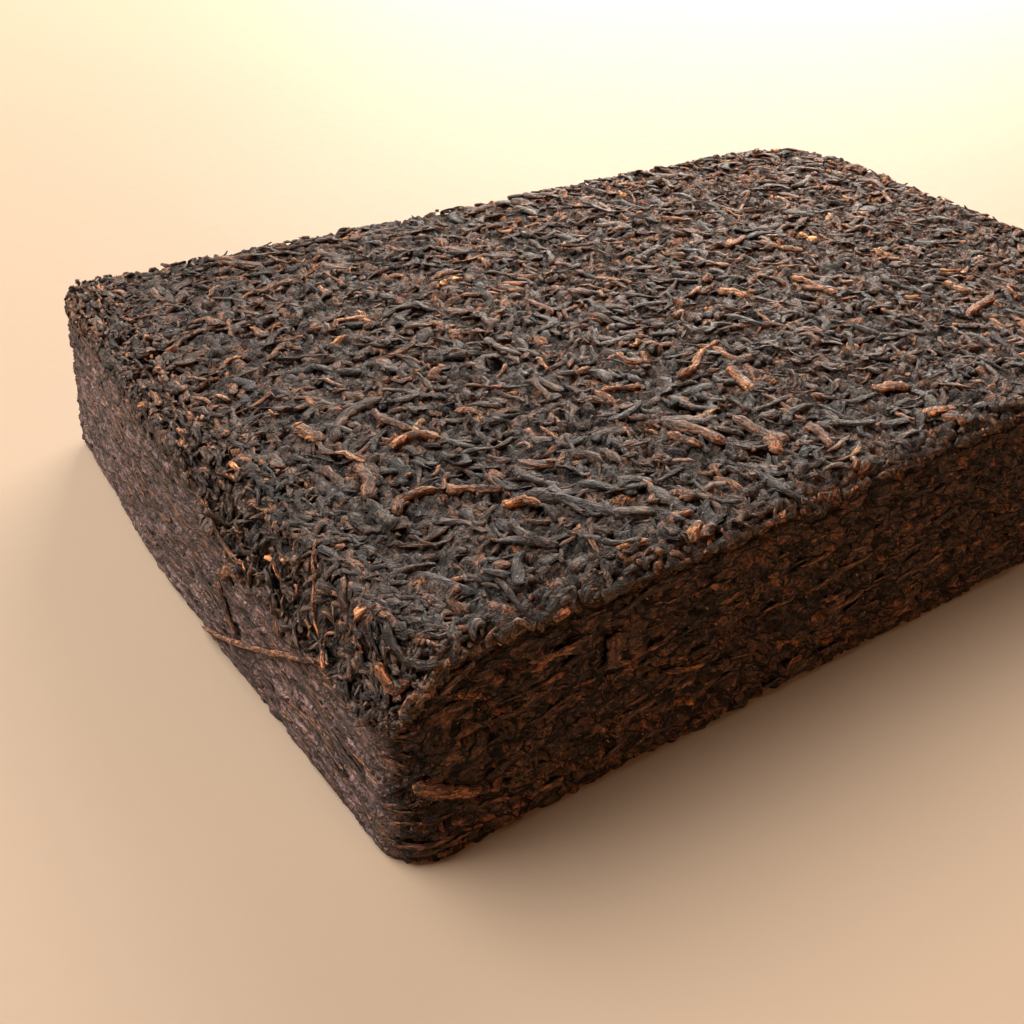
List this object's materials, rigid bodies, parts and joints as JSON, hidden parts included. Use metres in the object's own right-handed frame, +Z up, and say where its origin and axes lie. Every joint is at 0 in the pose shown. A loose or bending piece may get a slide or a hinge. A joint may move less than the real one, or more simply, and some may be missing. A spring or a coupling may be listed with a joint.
{
  "type": "pu erh tea brick",
  "caption": "Flat rectangular brick of compressed dark fermented tea leaf with pressed rims, a worn shoulder along one short end and a crumbled corner.",
  "frame": {"origin": "middle of the brick's box, at the height of the flat base", "axes": "+X along the long side, away from the worn short end; +Y along the short side; +Z up through the thickness"},
  "size_m": [0.1406, 0.0936, 0.0248],
  "materials": {
    "pressed_leaf": "rough dry pressed leaf with a faint sheen"
  },
  "bodies": {
    "root": {"tea_brick": "pressed_leaf"}
  },
  "joints": []
}
